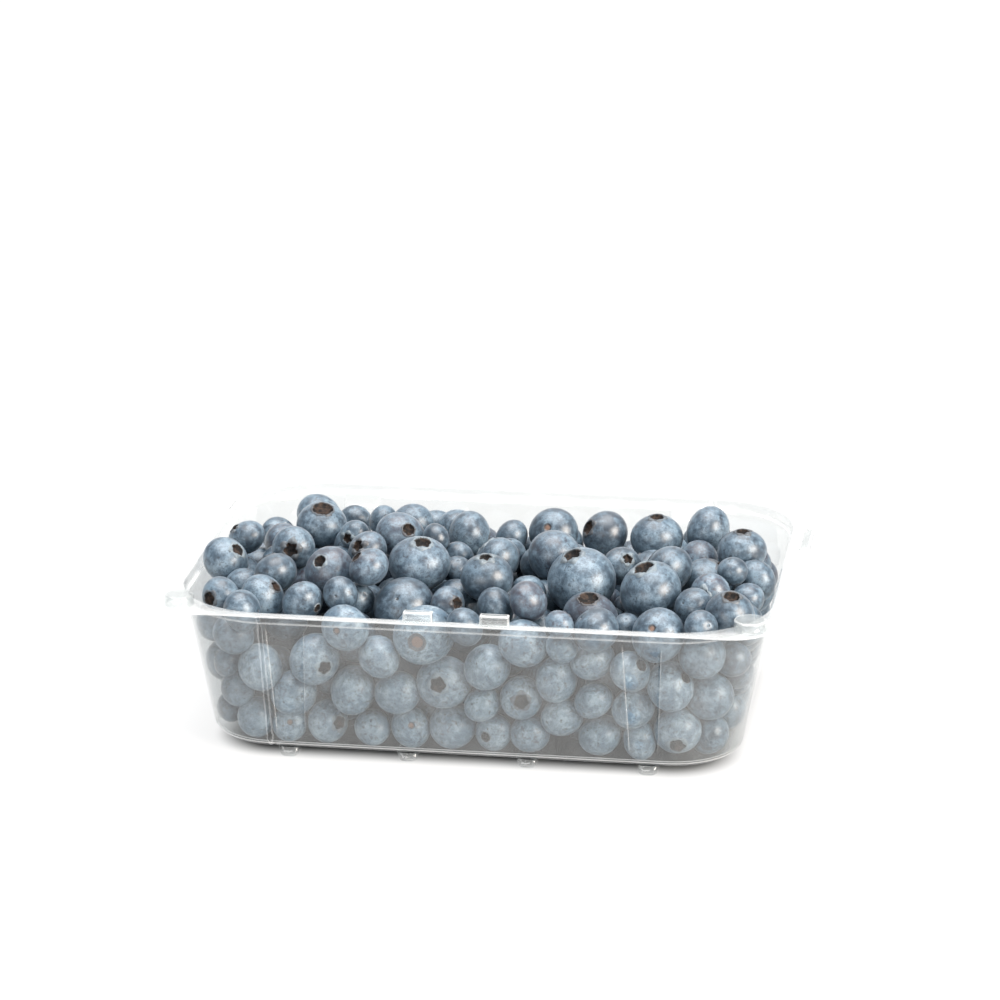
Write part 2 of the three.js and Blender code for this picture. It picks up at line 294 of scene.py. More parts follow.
def stitched(rings):
    """Vertices and faces of neighbouring rings, with a fan at each end, and each vertex's value."""
    count = len(rings[0][0])
    vertices = [np.column_stack((xy, z)) for xy, z, _ in rings]
    values = [ring_values for _, _, ring_values in rings]
    faces = []
    for level in range(len(rings) - 1):
        low, high = level * count, (level + 1) * count
        for i in range(count):
            j = (i + 1) % count
            faces.append((low + i, low + j, high + j, high + i))
    total = len(rings) * count
    for ring, first in ((rings[0], True), (rings[-1], False)):
        middle = np.array([[ring[0][:, 0].mean(), ring[0][:, 1].mean(), ring[1][0]]])
        vertices.append(middle)
        values.append(np.zeros(1))
        base = 0 if first else (len(rings) - 1) * count
        for i in range(count):
            j = (i + 1) % count
            faces.append((total, base + j, base + i) if first else (total, base + i, base + j))
        total += 1
    return np.vstack(vertices), faces, np.concatenate(values)


def new_piece(name, vertices, faces, attributes):
    """A smooth mesh object from points in millimetres about the opening's middle."""
    mesh = bpy.data.meshes.new(name)
    mesh.from_pydata(((vertices + OPENING_MIDDLE) * MM).tolist(), [], faces)
    mesh.update()
    for key, values in attributes.items():
        values = np.asarray(values, np.float32)
        if values.ndim == 1:
            mesh.attributes.new(key, "FLOAT", "POINT").data.foreach_set("value", values)
        else:
            layer = mesh.attributes.new(key, "FLOAT_VECTOR", "POINT")
            layer.data.foreach_set("vector", values.ravel())
    mesh.polygons.foreach_set("use_smooth", [True] * len(mesh.polygons))
    piece = bpy.data.objects.new(name, mesh)
    bpy.context.scene.collection.objects.link(piece)
    return piece


wall_mesh = stitched(shell_rings())


# ---- Studs, catches, grip and feet ----
# Formed in the same sheet: hollow studs and small boxes that stand up from the flange for a lid
# to snap over, an oval ridge on the wide ear, and hollow ribs under the floor that it stands on.

STUD_HEIGHT = 3.2
STUDS = [
    # x, y, radius, how strongly the painted glint shows on its edges
    (-86.3, -60.3, 4.5, 0.12),
    (85.6, -59.0, 5.0, 0.6),
]
CATCH_MIDDLE = -1.0
CATCH_SPACING = 23.0
CATCH_LENGTH = 9.2
CATCH_DEPTH = 3.0
CATCH_HEIGHT = 3.3
CATCH_RADIUS = 0.7
CATCH_Y = -66.1
GRIP_X, GRIP_Y = 95.2, 24.0
GRIP_WIDTH = 3.6
GRIP_LENGTH = 20.0
GRIP_HEIGHT = 0.8
CAP_WALL = SHEET * 0.7
CAP_CORNER_STEPS = 8
CAP_CORNER_LINE = 2.2  # how strongly the painted glint shows on the upright corners
FOOT_SPACING = 36.6
FOOT_COUNT = 4
FOOT_BOTTOM_HALF = 2.6
FOOT_TOP_HALF = 3.4
FOOT_HALF_LENGTH = 55.2
FOOT_END_RADIUS = 1.9
FOOT_END_STEPS = 4
PAD_LENGTH = 9.0
PAD_RAMP = 1.5
RIB_CLEARANCE = 0.4


def round_box_line(half_x, half_y, radius, steps):
    """A rectangle with rounded corners, anticlockwise from its right front corner."""
    points = []
    for quarter, (sign_x, sign_y) in enumerate(((1, -1), (1, 1), (-1, 1), (-1, -1))):
        for i in range(steps + 1):
            angle = math.pi / 2 * (quarter - 1 + i / steps)
            points.append((
                sign_x * (half_x - radius) + radius * math.cos(angle),
                sign_y * (half_y - radius) + radius * math.sin(angle),
            ))
    return np.array(points)


def cap_mesh(x, y, half_x, half_y, height, radius):
    """A thin cap, open below: up the outside, over its rounded edge, and back down the inside."""
    soft = min(0.4, height * 0.4)
    # Inset, height above the flange and how much painted glint it gets, from the foot to the flat top.
    outside = [
        (0.0, 0.0, 1.2),
        (0.03, height * 0.1, 0.0),
        (0.2, height - soft - 0.3, 0.0),
        (0.2, height - soft, 2.0),
        (0.2 + soft * 0.3, height - soft * 0.3, 2.6),
        (0.2 + soft, height, 2.0),
        (0.5 + soft, height, 0.0),
    ]
    steps = CAP_CORNER_STEPS
    corner_line = np.tile(np.sin(np.linspace(0, math.pi, steps + 1)) ** 2, 4) * CAP_CORNER_LINE
    has_corners = radius < half_y * 0.8

    def ring(inset, lift, haze_and_painted_glint):
        line = round_box_line(half_x - inset, half_y - inset, max(radius - inset, 0.12), steps)
        shown = np.full(len(line), haze_and_painted_glint)
        if has_corners and lift < height:
            shown = np.maximum(shown, corner_line)
        return (line + (x, y), np.full(len(line), RIM + 0.02 + lift), shown)

    inner = [ring(inset + CAP_WALL, max(lift - CAP_WALL, 0), 0.0) for inset, lift, _ in outside]
    return stitched(inner[::-1] + [ring(*step) for step in outside])


def foot_mesh(number):
    """A hollow rib with rounded ends; the two outer ribs stand on a pad at each end."""
    x = (number - (FOOT_COUNT - 1) / 2) * FOOT_SPACING
    pad_lift = 0.0 if number in (0, FOOT_COUNT - 1) else RIB_CLEARANCE
    # Half of the rib: how far along, height above the table and how much narrower it gets.
    half = [
        (FOOT_HALF_LENGTH - PAD_LENGTH - PAD_RAMP, RIB_CLEARANCE, 0.0),
        (FOOT_HALF_LENGTH - PAD_LENGTH, pad_lift, 0.0),
    ]
    for i in range(FOOT_END_STEPS + 1):
        angle = math.pi / 2 * i / FOOT_END_STEPS
        y = FOOT_HALF_LENGTH - FOOT_END_RADIUS * (1 - math.sin(angle))
        half.append((y, pad_lift, FOOT_END_RADIUS * (1 - math.cos(angle))))
    stations = [(-y, lift, narrowing) for y, lift, narrowing in half[::-1]] + half
    top = FLOOR + 0.1
    vertices, painted_glint = [], []
    for y, lift, narrowing in stations:
        low, high = FOOT_BOTTOM_HALF - narrowing, FOOT_TOP_HALF - narrowing
        in_low, in_high = max(low - SHEET, 0.1), max(high - SHEET, 0.3)
        # Across the rib: x, z and how much painted glint it gets, outside and then back inside.
        outer = [(-high, top, 0.1), (-low - 0.25, lift + 0.3, 0.2), (-low, lift, 0.5)]
        outer += [(-dx, z, haze_and_painted_glint) for dx, z, haze_and_painted_glint in outer[::-1]]
        inner = [(in_high, top, 0.0), (in_low, lift + SHEET, 0.0)]
        inner += [(-dx, z, haze_and_painted_glint) for dx, z, haze_and_painted_glint in inner[::-1]]
        vertices += [(x + dx, y, z) for dx, z, _ in outer]
        inner_y = math.copysign(min(abs(y), FOOT_HALF_LENGTH - SHEET), y)
        vertices += [(x + dx, inner_y, z) for dx, z, _ in inner]
        painted_glint += [haze_and_painted_glint for _, _, haze_and_painted_glint in outer + inner]
    count = len(outer) + len(inner)
    faces = []
    for level in range(len(stations) - 1):
        for i in range(count):
            j = (i + 1) % count
            low, high = level * count, (level + 1) * count
            faces.append((low + i, high + i, high + j, low + j))
    end = (len(stations) - 1) * count
    for face in ((0, 1, 2, 3, 4, 5), (6, 7, 8, 9), (5, 6, 9, 0)):
        faces.append(face)
        faces.append(tuple(end + k for k in face[::-1]))
    return np.array(vertices, float), faces, np.array(painted_glint, float)


def joined(parts):
    """Several meshes as one: vertices, faces and one value a vertex."""
    vertices, faces, values, start = [], [], [], 0
    for part_vertices, part_faces, part_values in parts:
        vertices.append(part_vertices)
        faces += [tuple(start + k for k in face) for face in part_faces]
        values.append(part_values)
        start += len(part_vertices)
    return np.vstack(vertices), faces, np.concatenate(values)


tub_parts = [wall_mesh]
for x, y, radius, painted_glint_strength in STUDS:
    stud_vertices, stud_faces, stud_painted_glint = cap_mesh(x, y, radius, radius, STUD_HEIGHT, radius * 0.98)
    tub_parts.append((stud_vertices, stud_faces, stud_painted_glint * painted_glint_strength))
for side in (-0.5, 0.5):
    catch_x = CATCH_MIDDLE + side * CATCH_SPACING
    tub_parts.append(cap_mesh(
        catch_x, CATCH_Y, CATCH_LENGTH / 2, CATCH_DEPTH / 2, CATCH_HEIGHT, CATCH_RADIUS,
    ))
tub_parts.append(cap_mesh(
    GRIP_X, GRIP_Y, GRIP_WIDTH / 2, GRIP_LENGTH / 2, GRIP_HEIGHT, GRIP_WIDTH * 0.48,
))
for number in range(FOOT_COUNT):
    tub_parts.append(foot_mesh(number))

tub_vertices, tub_faces, tub_painted_glint = joined(tub_parts)
tub = new_piece("punnet_tub", tub_vertices, tub_faces, {"painted_glint": tub_painted_glint})


class Socket:
    """A node's output in a finish; sums and products of it add the Math nodes."""

    def __init__(self, finish, output):
        self.finish = finish
        self.output = output

    def _math(self, operation, *values):
        return self.finish.node("ShaderNodeMath", {"operation": operation}, *values)

    def __add__(self, other):
        return self._math("ADD", self, other)

    def __radd__(self, other):
        return self._math("ADD", other, self)

    def __sub__(self, other):
        return self._math("SUBTRACT", self, other)

    def __rsub__(self, other):
        return self._math("SUBTRACT", other, self)

    def __mul__(self, other):
        return self._math("MULTIPLY", self, other)

    def __rmul__(self, other):
        return self._math("MULTIPLY", other, self)

    def __pow__(self, other):
        return self._math("POWER", self, other)

    def ramp(self, low, high):
        """0 at low and below, 1 at high and above, eased in between."""
        settings = {"interpolation_type": "SMOOTHSTEP"}
        return self.finish.node("ShaderNodeMapRange", settings, self, low, high, 0.0, 1.0)


class Finish:
    """A material that is put together from nodes."""

    def __init__(self, name):
        self.material = bpy.data.materials.new(name)
        self.material.use_nodes = True
        self.tree = self.material.node_tree
        self.tree.nodes.clear()

    def node(self, kind, settings, *values, out=0, **named):
        """Adds a node: its settings first, then its sockets in order or by name."""
        node = self.tree.nodes.new(kind)
        for key, value in settings.items():
            setattr(node, key, value)
        sockets = list(zip(node.inputs, values))
        sockets += [(node.inputs[key.replace("_", " ")], value) for key, value in named.items()]
        for socket, value in sockets:
            self.fill(socket, value)
        return Socket(self, node.outputs[out]) if len(node.outputs) else None

    def fill(self, socket, value):
        """Links a node's output to a socket, or sets the socket to a plain value."""
        if isinstance(value, Socket):
            self.tree.links.new(value.output, socket)
        else:
            socket.default_value = value

    def attribute(self, name, out=2):
        """A value that the mesh holds for each vertex."""
        return self.node("ShaderNodeAttribute", {"attribute_name": name}, out=out)

    def place(self):
        """Where a point of the surface is, in the object's own frame."""
        return self.node("ShaderNodeTexCoord", {}, out=3)

    def noise(self, scale, detail=3.0, roughness=0.55):
        """Soft random patches; a higher scale makes them smaller."""
        return self.node(
            "ShaderNodeTexNoise", {},
            Vector=self.place(), Scale=scale, Detail=detail, Roughness=roughness,
        )

    def blend(self, share, first, second):
        """Mixes two colours."""
        mix = self.tree.nodes.new("ShaderNodeMix")
        mix.data_type = "RGBA"
        self.fill(mix.inputs[0], share)
        for socket, value in ((mix.inputs[6], first), (mix.inputs[7], second)):
            self.fill(socket, (*value, 1) if isinstance(value, tuple) else value)
        return Socket(self, mix.outputs[2])

    def surface(self, shader):
        """Finishes the material with its shader."""
        self.node("ShaderNodeOutputMaterial", {}, shader)
        return self.material


CLEAR_TINT = (0.915, 0.925, 0.925, 1)
HAZE_TINT = (0.95, 0.96, 0.96, 1)
HAZE = 0.032  # how much of the light the flat sheet scatters
PAINTED_GLINT_HAZE = 0.16  # and how much more where the painted glint is 1: white haze painted on bends as highlight lines

clear = Finish("clear_plastic")
painted_glint = clear.attribute("painted_glint")
facing = clear.node("ShaderNodeLayerWeight", {}, 0.5, out=1)
mirror_share = 0.05 + 0.95 * facing ** 5
cloud = clear.noise(70.0, 2.0).ramp(0.35, 0.7)
# Painted highlight: the painted_glint attribute adds white haze along bends and edges, standing in for
# the bright glint lines that lights make there.
haze_share = HAZE * (0.7 + 0.6 * cloud) + PAINTED_GLINT_HAZE * painted_glint
see_through = clear.node("ShaderNodeBsdfTransparent", {}, CLEAR_TINT)
haze = clear.node("ShaderNodeBsdfDiffuse", {}, HAZE_TINT)
haze_and_painted_glint = clear.node("ShaderNodeMixShader", {}, haze_share, see_through, haze)
waves = clear.noise(45.0, 1.0)
ripple = clear.node("ShaderNodeBump", {}, Strength=0.12, Distance=0.0006, Height=waves)
gloss = clear.node("ShaderNodeBsdfGlossy", {}, Color=(1, 1, 1, 1), Roughness=0.06, Normal=ripple)
glossy = clear.node("ShaderNodeMixShader", {}, mirror_share, haze_and_painted_glint, gloss)
tub.data.materials.append(clear.surface(glossy))

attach(tub, "root")
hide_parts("tub")


# ---- The heap: where the berries lie ----
# Loose fruit, tipped in and shaken down, higher at the front than at the back. The berries that
# show most are listed one by one, and the others settle round them under their own weight.

# Towards the viewer for whom the heap was laid out, and that viewer's right and up.
FACING_TURN, FACING_TILT = math.radians(9), math.radians(20)
FACING = Vector((math.sin(FACING_TURN), -math.cos(FACING_TURN), math.tan(FACING_TILT))).normalized()
FACING_RIGHT = Vector((math.cos(FACING_TURN), math.sin(FACING_TURN), 0))
FACING_UP = FACING.cross(FACING_RIGHT)

MOUND_TOP = RIM + 8.5
MOUND_BACK_FALL = 9.0
MOUND_EDGE_DROP = 6.0
FLOOR_TOP = FLOOR + SHEET
BERRY = 14.0  # usual diameter
BERRY_SPREAD = 1.9
SMALLEST, LARGEST = 9.5, 18.0
TOUCH = 0.985  # berries give a little where they touch
WALL_GAP = 0.2
LAYERS = 5
LAYER_HEIGHT = BERRY * 0.8
LAYER_ROWS, LAYER_COLUMNS = 6, 8  # on each side of the middle
ROW_SPACING = 0.87  # in berries
BACK_FROM = 10.0  # from here backwards the heap lies a little lower
SETTLE_STEPS = 200
FALL_STEPS = 120
FALL = 0.1  # how far a loose berry sinks in the first step
SPREAD_FROM = (68, 43)  # beyond this x and y the lower berries drift out to the wall
DRIFT = 0.12
WALL_PULL = 0.12  # how strongly the berries set at the wall are drawn to it
AIM_PULL = 0.25  # and how strongly each listed berry, to its own place

# Each row: how far back it lies, then its berries from left to right as x, z of the middle,
# diameter, and where the crown shows on the side seen from the front (right, up), if it does;
# a third value there says that it's the stem scar instead, and how big.
HEAP_ROWS = [
    (-55, [
        (-72.5, 43, 13, None), (-37, 41.8, 14.6, (-0.4, -0.15, 0.15)), (-0.5, 44, 12, None),
        (28, 46, 9, None), (38.5, 43.5, 14, None),
        (48.5, 46.5, 9, None), (58, 44.9, 16.4, (-0.3, 0.3, 0.13)), (71.5, 46.5, 10.4, None),
    ]),
    (-42, [
        (-77.5, 45.5, 12, (-0.6, -0.15)), (-64.5, 46.5, 14, (0.7, 0.5)), (-52, 45.5, 13, (0.8, -0.35)),
        (-21, 45.5, 18.6, None), (-7.5, 47, 11, (0.65, 0.05)), (7, 46.5, 12.6, None),
        (17, 49, 12.4, None), (36, 44.5, 16.4, (-0.1, 0.82)), (67, 49, 12, None),
        (77.5, 47.5, 15, (0.05, 0.8)), (20, 39.5, 12.5, None), (-58, 38, 13, None),
        (31.5, 38.5, 11.5, None),
    ]),
    (-27, [
        (-63.5, 49, 14, None), (-47, 50, 15.9, (-0.4, 0.45)), (-34, 52.5, 12.8, (-0.7, 0.6)),
        (-37.5, 42, 10.4, None), (-19, 54, 18.6, (0.12, 0.8)), (2, 50.5, 16, (-0.05, 0.84)),
        (31, 50.5, 21.8, (-0.3, 0.83)), (52, 48.5, 19.6, (-0.28, 0.84)), (70.5, 49, 12.2, (-0.5, -0.2)),
        (82, 47.5, 11, None), (-74, 43.5, 12.5, None),
    ]),
    (-19, [
        (-82, 50, 14.8, (0.62, 0.5)), (-8.5, 50, 9.6, None),
    ]),
    (-10, [
        (-61.5, 51, 13.6, (-0.1, -0.1)), (-38, 51.5, 12.6, (-0.5, 0.3)), (-9.5, 51, 10, None),
        (3, 51, 14, None), (15.5, 49, 13, None), (20.5, 53, 17, None),
        (41.5, 50.5, 12.6, (0.3, 0.4)), (55.5, 49.5, 15.2, None), (75, 50, 9.5, None),
        (82.5, 47, 13.4, None),
    ]),
    (4, [
        (-79.5, 49, 12, (-0.7, 0.6)), (-45, 51.5, 9.6, (-0.5, -0.3)), (-30, 52.5, 15.2, (0.4, 0.25)),
        (-19, 51.5, 9.2, None), (4, 47, 11.4, None), (63.5, 48, 13.2, None),
        (77, 52.5, 15, (0.0, 0.9)),
    ]),
    (20, [
        (-73, 45, 11.8, (0.6, 0.4)), (-58.5, 49.5, 16.5, (0.07, 0.8)), (-11, 48, 15.2, None),
        (2.5, 48, 11.4, None), (16, 50.5, 15.8, (-0.3, 0.2, 0.15)), (32, 50, 14.8, (-0.8, 0.3)),
        (48.5, 50, 16.5, (0.0, 0.9)), (64.5, 52.5, 15.4, None),
    ]),
    (40, [
        (-63.5, 45, 15, None), (-42.5, 44.5, 10.2, None), (-33, 43, 14.4, None),
        (-19, 44, 11.6, None), (14, 39, 12.5, None), (30.5, 38.5, 12.5, None),
        (50, 38.5, 13, None), (71, 38, 13, None),
    ]),
]

# Against the front wall, row by row downwards: x, z, diameter and crown as above.
WALL_BERRIES = [
    (-72, 39, 13.2, None), (-25.5, 34, 13.8, None), (-13.5, 38.5, 18.6, (-0.27, -0.3, 0.27)),
    (18, 40, 14.8, None), (30, 43, 9.8, None), (39, 40.5, 13.8, None), (71, 41, 14.4, None),
    (-77, 32, 10, None), (-67, 27, 14.6, None), (-48.4, 27.2, 15.9, (0.45, -0.37)),
    (6, 31, 14.4, None), (28.5, 29.3, 13.8, None), (48, 31.5, 12.8, (0.6, 0.35)),
    (61.5, 27, 15.4, (0.65, 0.38)), (77, 26, 15, None), (-75, 18, 11.6, None),
    (-55, 15.5, 14.4, None), (-34, 19.5, 15.2, None), (-22.6, 17.3, 14.4, None),
    (-7.5, 23, 16.6, (-0.25, -0.1)), (5, 15, 12, None), (16, 21.5, 13.2, (0.0, -0.2)),
    (28, 15, 13.2, None), (38, 20.2, 12.3, None), (51.5, 18.5, 13.8, None),
    (66.5, 10.8, 14.5, (-0.05, -0.72)), (79, 9.5, 12.8, None), (-67.8, 8.5, 12.8, None),
    (-56, 6, 11, (0.05, 0.1, 0.16)), (-43.5, 8.5, 13.4, (0.66, -0.1)), (-30, 7.6, 11.4, None),
    (-18.5, 7.4, 12.4, (0.05, 0.1, 0.15)), (-6, 8.4, 14.4, None), (8, 7, 12, (-0.5, -0.3)),
    (18, 8.4, 12.4, None), (40, 8.8, 13.4, None), (53, 7.6, 12, None),
]


def mound_level(x, y):
    """How high the heap's surface is over a point."""
    u = np.minimum(1, np.abs(x) / OPENING_HALF_LENGTH)
    v = np.minimum(1, np.abs(y) / OPENING_HALF_WIDTH)
    towards_back = (y / OPENING_HALF_WIDTH + 1) / 2
    edge = 1 - np.sqrt((1 - u ** 6) * (1 - v ** 6))
    return MOUND_TOP - MOUND_BACK_FALL * towards_back ** 2 - MOUND_EDGE_DROP * edge


def inside_wall(z):
    """Half length, half width and corner radius of the space inside the wall at height z."""
    share = np.clip((LEDGE_FOOT - z) / (LEDGE_FOOT - PANEL_FOOT), 0, 1.1)
    inset = np.where(z > LEDGE_FOOT, 0.6, LEDGE_INSET + (FLOOR_INSET - LEDGE_INSET) * share)
    radius = OPENING_RADIUS + (FLOOR_RADIUS - OPENING_RADIUS) * inset / FLOOR_INSET
    return OPENING_HALF_LENGTH - inset, OPENING_HALF_WIDTH - inset, radius


def keep_inside(places, radii):
    """Moves each berry back from the wall, measured to the rounded outline, and up from the floor."""
    half_x, half_y, corner = inside_wall(places[:, 2])
    room = WALL_GAP + radii * 1.02
    corner = np.maximum(corner, room + 0.5)
    qx = np.abs(places[:, 0]) - (half_x - corner)
    qy = np.abs(places[:, 1]) - (half_y - corner)
    px, py = np.maximum(qx, 0), np.maximum(qy, 0)
    length = np.hypot(px, py)
    over = np.maximum(length + np.minimum(np.maximum(qx, qy), 0) - corner + room, 0)
    length = np.maximum(length, 1e-6)
    places[:, 0] -= np.sign(places[:, 0]) * over * px / length
    places[:, 1] -= np.sign(places[:, 1]) * over * py / length
    places[:, 2] = np.maximum(places[:, 2], FLOOR_TOP + 0.1 + radii * 0.97)


def push_apart(places, radii, held, at_wall):
    """One pass that parts berries which press into each other.

    Those listed for the heap give way mostly in depth. Those at the wall are drawn back to it.
    """
    weights = np.where(held, 3.0, 1.0)
    gap = places[:, None, :] - places[None, :, :]
    far = np.linalg.norm(gap, axis=2) + 1e-9
    press = (radii[:, None] + radii[None, :]) * TOUCH - far
    np.fill_diagonal(press, -1)
    press = np.maximum(press, 0)
    share = weights[None, :] / (weights[:, None] + weights[None, :])
    push = (gap / far[:, :, None] * (press * share)[:, :, None]).sum(axis=1)
    in_depth = (push @ np.array(FACING))[:, None] * np.array(FACING)
    push = np.where((held & ~at_wall)[:, None], in_depth * 1.3 + push * 0.04, push)
    places += push * 0.45
    wall = -inside_wall(places[at_wall, 2])[1] + radii[at_wall] * 1.02 + WALL_GAP
    places[at_wall, 1] += (wall - places[at_wall, 1]) * WALL_PULL


def hand_set_berries(dice):
    """The berries of the two lists above: places, radii and crowns."""
    places, radii, crowns = [], [], []
    for y, row in HEAP_ROWS:
        for x, z, diameter, crown in row:
            places.append((x, y + dice.uniform(-1.5, 1.5), z))
            radii.append(diameter / 2)
            crowns.append(crown)
    for x, z, diameter, crown in WALL_BERRIES:
        half_width = float(inside_wall(np.array(z))[1])
        places.append((x, -half_width + diameter * 0.51 + 0.3, z))
        radii.append(diameter / 2)
        crowns.append(crown)
    return np.array(places, float), np.array(radii), crowns


def loose_berries(dice, held_places, held_radii):
    """The others, in layers under the heap's surface where no listed berry is near."""
    loose = []
    for layer in range(LAYERS):
        for row in range(-LAYER_ROWS, LAYER_ROWS + 1):
            for column in range(-LAYER_COLUMNS, LAYER_COLUMNS + 1):
                x = (column + 0.5 * ((row + layer) % 2)) * BERRY + dice.uniform(-2, 2)
                y = (row + 0.33 * (layer % 3)) * BERRY * ROW_SPACING + dice.uniform(-2, 2)
                radius = float(np.clip(dice.normal(BERRY, BERRY_SPREAD), SMALLEST, LARGEST)) / 2
                drop = 4.0 if y > BACK_FROM else 2.0
                surface = float(mound_level(x, y))
                z = surface - radius - drop - layer * LAYER_HEIGHT + dice.uniform(-1, 1)
                half_x, half_y, _ = inside_wall(np.array(z))
                if abs(x) > half_x - 4 or abs(y) > half_y - 4 or z < FLOOR_TOP + radius * 0.5:
                    continue
                apart = np.linalg.norm(held_places - (x, y, z), axis=1)
                if (apart < (held_radii + radius) * 0.73).any():
                    continue
                loose.append((x, y, z, radius))
    return np.array(loose)


def settled_berries():
    """Every berry of the heap: place, radius, crown direction and whether it was listed."""
    dice = np.random.default_rng(7)
    held_places, held_radii, held_crowns = hand_set_berries(dice)
    loose = loose_berries(dice, held_places, held_radii)
    places = np.vstack((held_places, loose[:, :3]))
    radii = np.concatenate((held_radii, loose[:, 3]))
    number = np.arange(len(places))
    held = number < len(held_places)
    at_wall = held & (number >= len(held_places) - len(WALL_BERRIES))
    aim = places.copy()
    for step in range(SETTLE_STEPS):
        places[~held, 2] -= FALL * max(0, 1 - step / FALL_STEPS)
        low = ~held & (places[:, 2] < RIM - 8)
        across = places[low, :2]
        places[low, :2] += np.sign(across) * (np.abs(across) > SPREAD_FROM) * DRIFT
        back = aim[held] - places[held]
        back -= (back @ np.array(FACING))[:, None] * np.array(FACING)
        places[held] += back * AIM_PULL
        for _ in range(3):
            push_apart(places, radii, held, at_wall)
            keep_inside(places, radii)
    # Loose berries that were pushed up out of the heap's surface are taken off.
    allowed = np.where(places[:, 1] > BACK_FROM, -3.0, 0.5)
    surface = mound_level(places[:, 0], places[:, 1])
    kept = held | (places[:, 2] + radii <= surface + allowed)
    crowns = held_crowns + [None] * len(loose)
    return places[kept], radii[kept], [c for c, k in zip(crowns, kept) if k], held[kept]


berry_places, berry_radii, berry_crowns, berry_held = settled_berries()


# ---- Berries ----
# Blueberries: a slightly flattened ball of waxy skin with a five-pointed crown round a shallow
# cup at one end and a small stem scar at the other. A pale dusty bloom lies on the dark skin.

AROUND = 40
CROWN_RINGS = 8
BODY_RINGS = 13
SCAR_RINGS = 3
RINGS = CROWN_RINGS + BODY_RINGS + SCAR_RINGS
SEPALS = 5
CROWN_EDGE = 0.33  # radius of the crown's cup, on a berry of radius 1
USUAL_TONE = (0.34, 0.5, 0.55)  # how dusty, how purple and how much rubbed
TONE_SPREAD = 0.24
WALL_PAINTED_LIGHT = 1.7  # painted light: added to the first tone value of the berries against the front wall, so their paler skin looks more brightly lit
TOP_ZONE, BOTTOM_ZONE, FRONT_ZONE = RIM - 9, 15, -6
CORE_DEPTH = 17.0  # how far in from the heap's outside the dark core begins


def berry_shape(dice, scar_size=0.0):
    """One berry of radius 1 with its crown at the top: vertices, crown mask and scar mask."""
    turn = np.linspace(0, 2 * math.pi, AROUND, endpoint=False)
    flat = dice.uniform(0.83, 0.95)
    edge = CROWN_EDGE * float(np.clip(dice.normal(1, 0.16), 0.62, 1.3))
    sepal_size = dice.uniform(0.55, 1.2) if dice.random() < 0.7 else dice.uniform(0.1, 0.4)
    curl = dice.uniform(-0.01, 0.045)
    cup_depth = dice.uniform(0.10, 0.18)
    sepal_sizes = np.clip(dice.normal(1, 0.28, SEPALS), 0.3, 1.5) * sepal_size
    place = np.arange(AROUND) / (AROUND / SEPALS)
    sepal = np.repeat(sepal_sizes, AROUND // SEPALS) * (1 - np.abs((place % 1) - 0.5) * 2) ** 0.9
    ragged = dice.normal(0, 0.035, AROUND)

    def skin_height(rho):
        return np.sqrt(np.maximum(1 - np.asarray(rho) ** 2, 0)) * flat

    rings = []
    crown, scar = [], []

    def ring(rho, z, crown_value, scar_value=0.0):
        rho = np.broadcast_to(rho, turn.shape)
        z = np.broadcast_to(z, turn.shape)
        rings.append(np.column_stack((rho * np.cos(turn), rho * np.sin(turn), z)))
        crown.append(np.broadcast_to(crown_value, turn.shape))
        scar.append(np.full(AROUND, scar_value))

    # The cup and its sepals.
    edge_z = float(skin_height(edge))
    cup_z = edge_z - cup_depth
    ring(0.10 * edge, cup_z + 0.02, 0.85)
    ring(0.26 * edge, cup_z, 1.0)
    ring(0.55 * edge, cup_z + 0.01, 1.0)
    inner = (0.88 - 0.26 * np.minimum(sepal, 1.1) + ragged) * edge
    ring(inner, edge_z - 0.3 * cup_depth + 0.02 * sepal, 0.95)
    ring(inner + 0.07 * edge, edge_z + 0.022 + (0.03 + curl) * sepal, 0.62)
    outer = (1.04 + 0.42 * sepal + ragged) * edge
    ring(outer - 0.02 * edge, skin_height(outer) + 0.026 + curl * sepal, 0.42)
    ring(outer, skin_height(outer) + 0.006, 0.34)
    ring(outer + 0.09 * edge, skin_height(outer + 0.09 * edge), 0.0)
    # The body, and then the small scar where the stem came off.
    start = math.asin(min(1.85 * CROWN_EDGE, 0.7))
    scar_edge = scar_size or 0.06
    end = math.pi - math.asin(1.25 * scar_edge)
    for share in np.linspace(0, 1, BODY_RINGS):
        angle = start + (end - start) * share
        ring(math.sin(angle), math.cos(angle) * flat, 0.0)
    scar_z = -float(skin_height(scar_edge))
    shown = 1.0 if scar_size else 0.4
    ring(scar_edge * (1 + ragged), scar_z + 0.01, 0.0, 0.5 * shown)
    ring(scar_edge * 0.74 * (1 + ragged), scar_z + 0.05, 0.0, 0.5 * shown)
    ring(scar_edge * 0.55 * (1 + ragged), scar_z + 0.045, 0.0, shown)
    points = np.vstack(rings + [np.array([[0, 0, cup_z + 0.035], [0, 0, scar_z + 0.045]])])
    wobble = dice.normal(0, 1, 6) * 0.022
    x, y, z = points.T
    twist = 2 * (wobble[0] * x * y + wobble[1] * x * z + wobble[2] * y * z)
    swell = 1 + twist + wobble[3] * (x * x - y * y)
    pear = 1 + dice.uniform(-0.05, 0.05) * z
    points = points * np.column_stack((swell * pear, swell * pear, swell))
    crown_values = np.concatenate(crown + [np.array([0.8, 0.0])])
    scar_values = np.concatenate(scar + [np.array([0.0, 0.75 * shown])])
    return points, crown_values, scar_values


def berry_faces():
    """Faces of one berry, the same for all of them."""
    faces = []
    for level in range(RINGS - 1):
        low, high = level * AROUND, (level + 1) * AROUND
        for i in range(AROUND):
            j = (i + 1) % AROUND
            faces.append((low + i, high + i, high + j, low + j))
    first, last = RINGS * AROUND, RINGS * AROUND + 1
    for i in range(AROUND):
        j = (i + 1) % AROUND
        faces.append((first, i, j))
        faces.append((last, (RINGS - 1) * AROUND + j, (RINGS - 1) * AROUND + i))
    return faces


